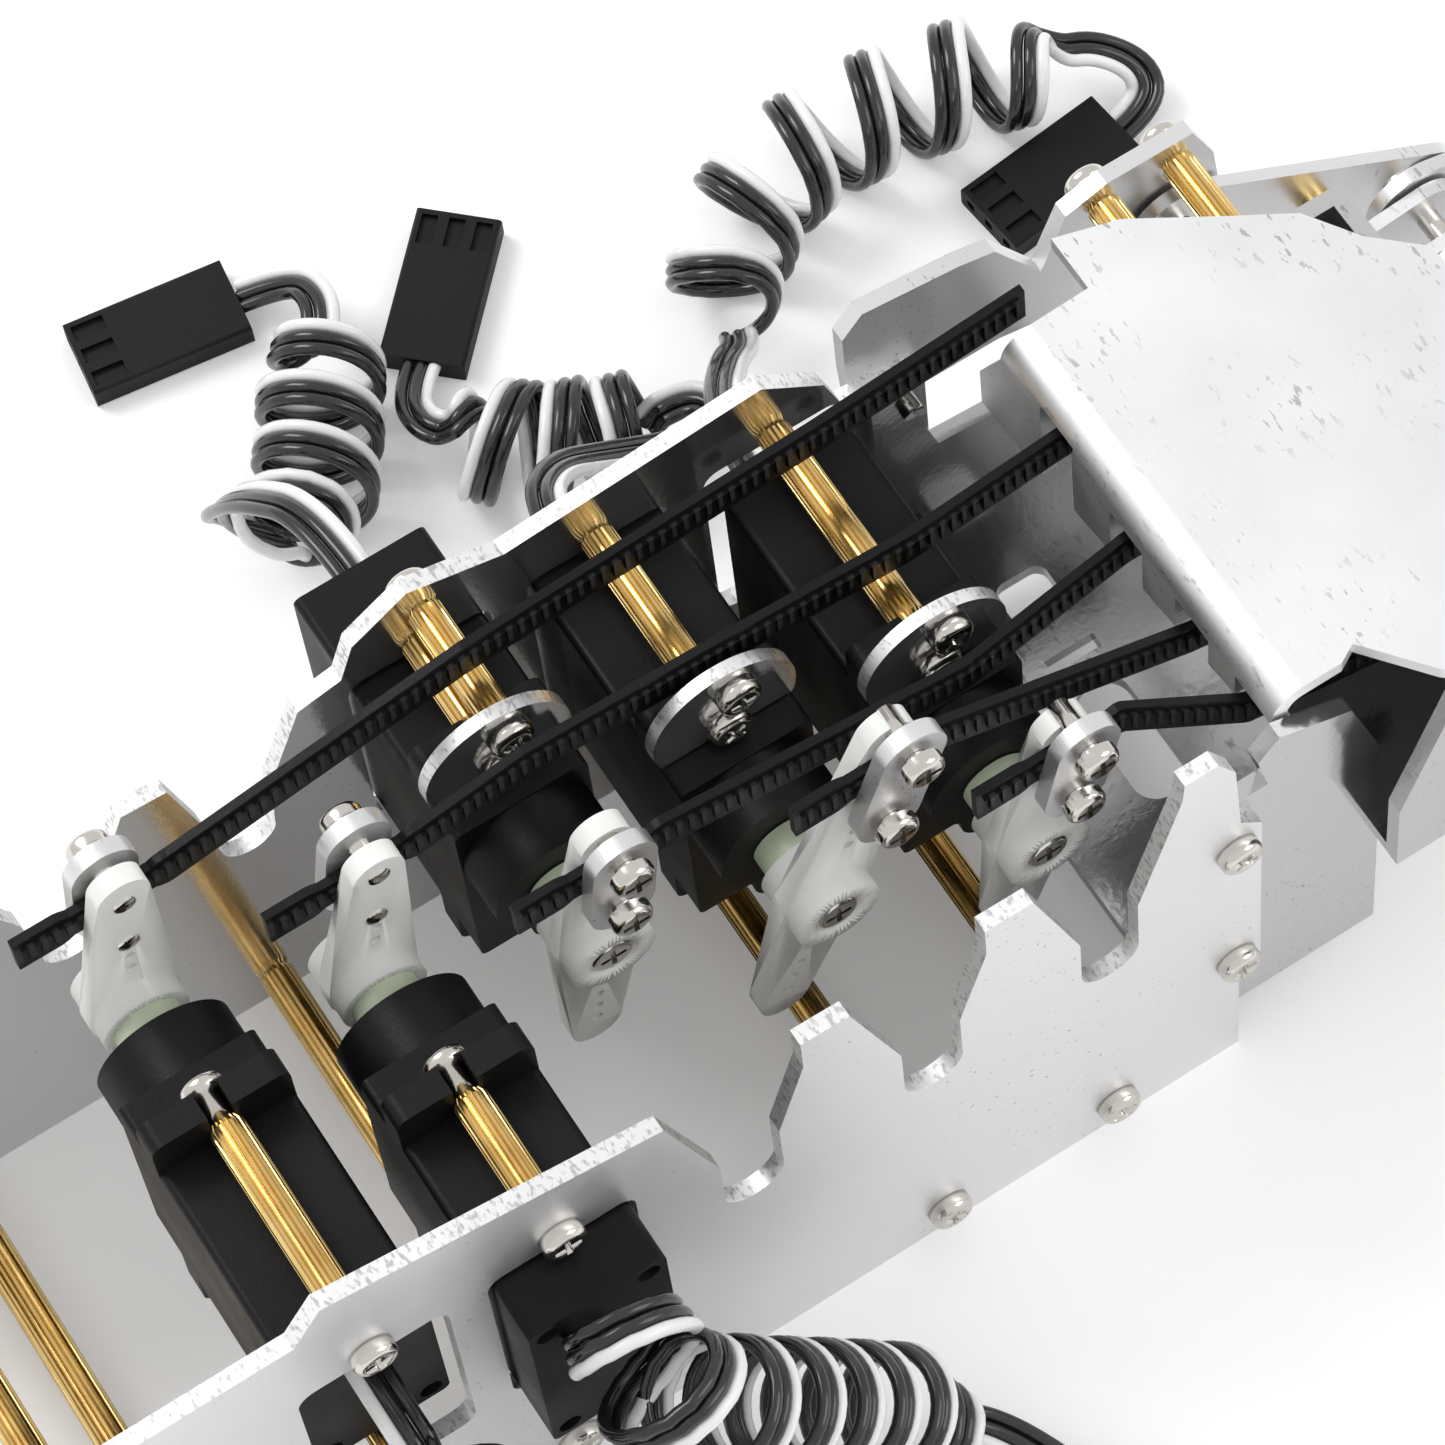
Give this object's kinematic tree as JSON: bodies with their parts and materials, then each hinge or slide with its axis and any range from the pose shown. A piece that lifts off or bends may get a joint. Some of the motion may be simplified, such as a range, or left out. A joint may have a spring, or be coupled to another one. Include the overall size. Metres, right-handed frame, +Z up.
{
  "type": "robotic hand",
  "caption": "Servo-driven robotic hand of folded aluminium: forearm box of micro servos pulling straps through a palm to curled plate fingers and a thumb.",
  "frame": {"origin": "lower edges of the side plates at the palm end, midway between the plates", "axes": "+X from wrist to fingertips, +Y towards the thumb's side, +Z up"},
  "size_m": [0.2224, 0.1556, 0.0641],
  "materials": {
    "sheet_aluminium": "satin, lightly scratched",
    "servo_black": "satin",
    "shaft_green": "satin",
    "horn_nylon": "translucent satin",
    "strap_black": "satin",
    "brass": "polished",
    "nickel_steel": "bright",
    "lead_pvc": "glossy",
    "connector_black": "satin"
  },
  "bodies": {
    "base": {"servo_case_little": "servo_black", "servo_case_ring": "servo_black", "servo_case_middle": "servo_black", "servo_case_index": "servo_black", "servo_case_thumb": "servo_black", "servo_bottom_covers": "servo_black", "near_side_plate": "sheet_aluminium", "far_side_plate": "sheet_aluminium", "servo_retainers": "sheet_aluminium", "servo_standoffs": "brass", "cross_ties": "brass", "frame_screws": "nickel_steel", "ear_screws": "nickel_steel", "palm_base": "sheet_aluminium", "palm_cover": "sheet_aluminium", "thumb_bracket": "sheet_aluminium", "thumb_standoffs": "brass", "knuckle_lugs": "sheet_aluminium", "knuckle_pins": "nickel_steel", "lead_little": "lead_pvc", "lead_ring": "lead_pvc", "lead_middle": "lead_pvc", "lead_index": "lead_pvc", "lead_thumb": "lead_pvc", "lead_connectors": "connector_black"},
    "horn_little_body": {"output_shaft_little": "shaft_green", "horn_little": "horn_nylon", "strap_clip_little": "sheet_aluminium"},
    "strap_little_body": {"strap_little": "strap_black"},
    "proximal_little_body": {"proximal_links_little": "sheet_aluminium", "proximal_pins_little": "brass"},
    "tip_little_body": {"tip_little": "sheet_aluminium"},
    "horn_ring_body": {"output_shaft_ring": "shaft_green", "horn_ring": "horn_nylon", "strap_clip_ring": "sheet_aluminium"},
    "strap_ring_body": {"strap_ring": "strap_black"},
    "proximal_ring_body": {"proximal_links_ring": "sheet_aluminium", "proximal_pins_ring": "brass"},
    "tip_ring_body": {"tip_ring": "sheet_aluminium"},
    "horn_middle_body": {"output_shaft_middle": "shaft_green", "horn_middle": "horn_nylon", "strap_clip_middle": "sheet_aluminium"},
    "strap_middle_body": {"strap_middle": "strap_black"},
    "proximal_middle_body": {"proximal_links_middle": "sheet_aluminium", "proximal_pins_middle": "brass"},
    "tip_middle_body": {"tip_middle": "sheet_aluminium"},
    "horn_index_body": {"output_shaft_index": "shaft_green", "horn_index": "horn_nylon", "strap_clip_index": "sheet_aluminium"},
    "strap_index_body": {"strap_index": "strap_black"},
    "proximal_index_body": {"proximal_links_index": "sheet_aluminium", "proximal_pins_index": "brass"},
    "tip_index_body": {"tip_index": "sheet_aluminium"},
    "horn_thumb_body": {"output_shaft_thumb": "shaft_green", "horn_thumb": "horn_nylon", "strap_clip_thumb": "sheet_aluminium"},
    "strap_thumb_body": {"strap_thumb": "strap_black"},
    "proximal_thumb_body": {"proximal_links_thumb": "sheet_aluminium", "proximal_pins_thumb": "brass"},
    "tip_thumb_body": {"tip_thumb": "sheet_aluminium"}
  },
  "joints": [
    {"name": "horn_little_turn", "type": "hinge", "parent": "base", "child": "horn_little_body", "pos_m": [-0.0144, -0.0096, 0.0381], "axis": [0, 1, 0], "range_deg": [-26, 12]},
    {"name": "strap_little_level", "type": "hinge", "parent": "horn_little_body", "child": "strap_little_body", "pos_m": [-0.01153, -0.0154, 0.0516], "axis": [0, 1, 0], "range_deg": [-12.5, 26.5]},
    {"name": "proximal_little_curl", "type": "hinge", "parent": "base", "child": "proximal_little_body", "pos_m": [0.041, -0.0256, 0.044], "axis": [0, 1, 0], "range_deg": [-14.9, 31.7]},
    {"name": "tip_little_curl", "type": "hinge", "parent": "proximal_little_body", "child": "tip_little_body", "pos_m": [0.06858, -0.0256, 0.03504], "axis": [0, 1, 0], "range_deg": [-14.9, 31.7]},
    {"name": "horn_ring_turn", "type": "hinge", "parent": "base", "child": "horn_ring_body", "pos_m": [-0.031, -0.0048, 0.0381], "axis": [0, 1, 0], "range_deg": [-33, 5]},
    {"name": "strap_ring_level", "type": "hinge", "parent": "horn_ring_body", "child": "strap_ring_body", "pos_m": [-0.0248, -0.0106, 0.05611], "axis": [0, 1, 0], "range_deg": [-5.5, 33.5]},
    {"name": "proximal_ring_curl", "type": "hinge", "parent": "base", "child": "proximal_ring_body", "pos_m": [0.044, -0.0139, 0.044], "axis": [0, 1, 0], "range_deg": [-6.5, 40.1]},
    {"name": "tip_ring_curl", "type": "hinge", "parent": "proximal_ring_body", "child": "tip_ring_body", "pos_m": [0.07634, -0.0139, 0.03349], "axis": [0, 1, 0], "range_deg": [-6.5, 40.1]},
    {"name": "horn_middle_turn", "type": "hinge", "parent": "base", "child": "horn_middle_body", "pos_m": [-0.0476, 0.002, 0.0381], "axis": [0, 1, 0], "range_deg": [-21, 17]},
    {"name": "strap_middle_level", "type": "hinge", "parent": "horn_middle_body", "child": "strap_middle_body", "pos_m": [-0.04596, -0.0038, 0.0515], "axis": [0, 1, 0], "range_deg": [-17.5, 21.5]},
    {"name": "proximal_middle_curl", "type": "hinge", "parent": "base", "child": "proximal_middle_body", "pos_m": [0.045, -0.0022, 0.044], "axis": [0, 1, 0], "range_deg": [-20.9, 25.7]},
    {"name": "tip_middle_curl", "type": "hinge", "parent": "proximal_middle_body", "child": "tip_middle_body", "pos_m": [0.08019, -0.0022, 0.03257], "axis": [0, 1, 0], "range_deg": [-20.9, 25.7]},
    {"name": "horn_index_turn", "type": "hinge", "parent": "base", "child": "horn_index_body", "pos_m": [-0.0642, 0.0006, 0.0381], "axis": [0, 1, 0], "range_deg": [-23, 15]},
    {"name": "strap_index_level", "type": "hinge", "parent": "horn_index_body", "child": "strap_index_body", "pos_m": [-0.06209, 0.0064, 0.05143], "axis": [0, 1, 0], "range_deg": [-15.5, 23.5]},
    {"name": "proximal_index_curl", "type": "hinge", "parent": "base", "child": "proximal_index_body", "pos_m": [0.041, 0.0095, 0.044], "axis": [0, 1, 0], "range_deg": [-18.5, 28.1]},
    {"name": "tip_index_curl", "type": "hinge", "parent": "proximal_index_body", "child": "tip_index_body", "pos_m": [0.07334, 0.0095, 0.03349], "axis": [0, 1, 0], "range_deg": [-18.5, 28.1]},
    {"name": "horn_thumb_turn", "type": "hinge", "parent": "base", "child": "horn_thumb_body", "pos_m": [-0.0808, 0.0091, 0.0381], "axis": [0, 1, 0], "range_deg": [-20, 18]},
    {"name": "strap_thumb_level", "type": "hinge", "parent": "horn_thumb_body", "child": "strap_thumb_body", "pos_m": [-0.07933, 0.0149, 0.05212], "axis": [0, 1, 0], "range_deg": [-18.5, 20.5]},
    {"name": "proximal_thumb_curl", "type": "hinge", "parent": "base", "child": "proximal_thumb_body", "pos_m": [0.025, 0.0204, 0.0405], "axis": [0, 1, 0], "range_deg": [-22.1, 24.5]},
    {"name": "tip_thumb_curl", "type": "hinge", "parent": "proximal_thumb_body", "child": "tip_thumb_body", "pos_m": [0.04958, 0.0204, 0.02329], "axis": [0, 1, 0], "range_deg": [-22.1, 24.5]}
  ],
  "couplings": [
    {"joint": "strap_little_level", "follows": "horn_little_turn", "ratio": -1},
    {"joint": "proximal_little_curl", "follows": "horn_little_turn", "ratio": -1.2},
    {"joint": "tip_little_curl", "follows": "horn_little_turn", "ratio": -1.2},
    {"joint": "strap_ring_level", "follows": "horn_ring_turn", "ratio": -1},
    {"joint": "proximal_ring_curl", "follows": "horn_ring_turn", "ratio": -1.2},
    {"joint": "tip_ring_curl", "follows": "horn_ring_turn", "ratio": -1.2},
    {"joint": "strap_middle_level", "follows": "horn_middle_turn", "ratio": -1},
    {"joint": "proximal_middle_curl", "follows": "horn_middle_turn", "ratio": -1.2},
    {"joint": "tip_middle_curl", "follows": "horn_middle_turn", "ratio": -1.2},
    {"joint": "strap_index_level", "follows": "horn_index_turn", "ratio": -1},
    {"joint": "proximal_index_curl", "follows": "horn_index_turn", "ratio": -1.2},
    {"joint": "tip_index_curl", "follows": "horn_index_turn", "ratio": -1.2},
    {"joint": "strap_thumb_level", "follows": "horn_thumb_turn", "ratio": -1},
    {"joint": "proximal_thumb_curl", "follows": "horn_thumb_turn", "ratio": -1.2},
    {"joint": "tip_thumb_curl", "follows": "horn_thumb_turn", "ratio": -1.2}
  ]
}
